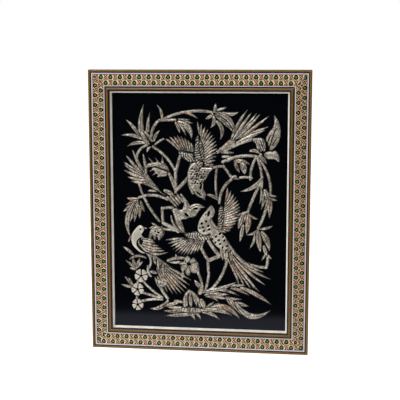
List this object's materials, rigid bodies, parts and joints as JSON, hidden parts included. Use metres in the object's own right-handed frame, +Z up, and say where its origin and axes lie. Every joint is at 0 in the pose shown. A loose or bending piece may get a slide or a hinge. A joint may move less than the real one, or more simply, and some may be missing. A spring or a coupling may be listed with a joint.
{
  "type": "engraved copper wall plaque",
  "caption": "Framed wall plaque: black-grounded copper plate with birds and flowers in relief, in a mitred wooden frame faced with khatam marquetry.",
  "frame": {"origin": "centre of the back face of the toothed hanger strip, where the plaque hangs on its wall nail", "axes": "+Z up, +Y into the wall, so the engraved front faces -Y; +X to the right as seen from the front"},
  "size_m": [0.4, 0.022, 0.515],
  "materials": {
    "walnut_rail": "oiled dark walnut, plain on the sides and back",
    "marquetry_moulding": "brown and gold wood beads with dark and white inlaid lines, clear varnish",
    "khatam_marquetry": "khatam marquetry of green, cream and red-brown rods, clear gloss varnish",
    "bone_slip": "off-white bone slip, satin",
    "engraved_copper": "silver-white and copper-pink engraved relief over a glossy black ground",
    "hardboard": "brown hardboard, matt",
    "zinc_plated_steel": "zinc plated"
  },
  "bodies": {
    "root": {"top_rail": "walnut_rail", "top_outer_moulding": "marquetry_moulding", "top_khatam_band": "khatam_marquetry", "top_inner_moulding": "marquetry_moulding", "top_bone_slip": "bone_slip", "right_rail": "walnut_rail", "right_outer_moulding": "marquetry_moulding", "right_khatam_band": "khatam_marquetry", "right_inner_moulding": "marquetry_moulding", "right_bone_slip": "bone_slip", "bottom_rail": "walnut_rail", "bottom_outer_moulding": "marquetry_moulding", "bottom_khatam_band": "khatam_marquetry", "bottom_inner_moulding": "marquetry_moulding", "bottom_bone_slip": "bone_slip", "left_rail": "walnut_rail", "left_outer_moulding": "marquetry_moulding", "left_khatam_band": "khatam_marquetry", "left_inner_moulding": "marquetry_moulding", "left_bone_slip": "bone_slip", "engraved_plate": "engraved_copper", "backing_board": "hardboard", "hanger_strip": "zinc_plated_steel", "left_hanger_nail": "zinc_plated_steel", "right_hanger_nail": "zinc_plated_steel"}
  },
  "joints": []
}
